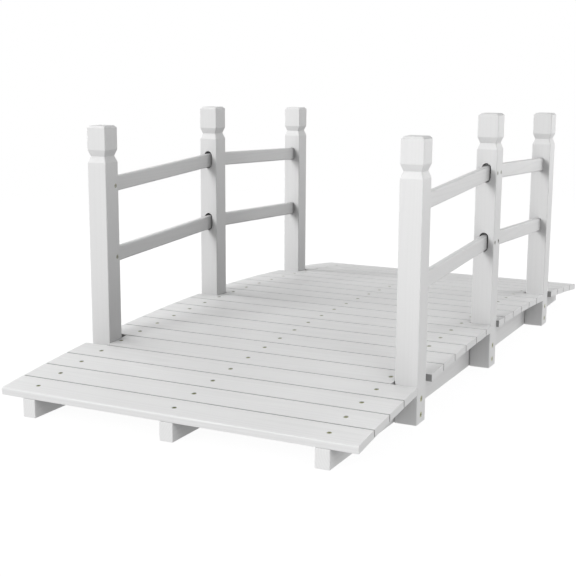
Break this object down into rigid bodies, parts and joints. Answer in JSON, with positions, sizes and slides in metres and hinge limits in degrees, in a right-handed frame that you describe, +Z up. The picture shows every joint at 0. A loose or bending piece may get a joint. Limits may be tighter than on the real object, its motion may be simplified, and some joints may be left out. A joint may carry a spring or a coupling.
{
  "type": "wooden garden bridge",
  "caption": "Low arched wooden garden bridge painted white: slatted deck on flat-bottomed stringers, square posts with grooved heads, and sloping rails along both sides.",
  "frame": {"origin": "on the ground, in the middle of the bridge's footprint", "axes": "+Z up, +Y along the walking direction toward the back end, +X to the right of someone walking toward +Y"},
  "size_m": [0.67, 1.401, 0.5012],
  "materials": {
    "painted_timber": "satin white paint",
    "zinc_screws": "yellowish zinc plating"
  },
  "bodies": {
    "root": {"deck_board_01": "painted_timber", "deck_board_02": "painted_timber", "deck_board_03": "painted_timber", "deck_board_04": "painted_timber", "deck_board_05": "painted_timber", "deck_board_06": "painted_timber", "deck_board_07": "painted_timber", "deck_board_08": "painted_timber", "deck_board_09": "painted_timber", "deck_board_10": "painted_timber", "deck_board_11": "painted_timber", "deck_board_12": "painted_timber", "deck_board_13": "painted_timber", "deck_board_14": "painted_timber", "deck_board_15": "painted_timber", "deck_board_16": "painted_timber", "deck_board_17": "painted_timber", "deck_board_18": "painted_timber", "deck_board_19": "painted_timber", "deck_board_20": "painted_timber", "deck_board_21": "painted_timber", "deck_board_22": "painted_timber", "deck_screws": "zinc_screws", "left_back_lower_rail": "painted_timber", "left_back_post": "painted_timber", "left_back_upper_rail": "painted_timber", "left_front_lower_rail": "painted_timber", "left_front_post": "painted_timber", "left_front_upper_rail": "painted_timber", "left_middle_post": "painted_timber", "left_stringer": "painted_timber", "middle_stringer": "painted_timber", "post_screws": "zinc_screws", "rail_screws": "zinc_screws", "right_back_lower_rail": "painted_timber", "right_back_post": "painted_timber", "right_back_upper_rail": "painted_timber", "right_front_lower_rail": "painted_timber", "right_front_post": "painted_timber", "right_front_upper_rail": "painted_timber", "right_middle_post": "painted_timber", "right_stringer": "painted_timber"}
  },
  "joints": []
}
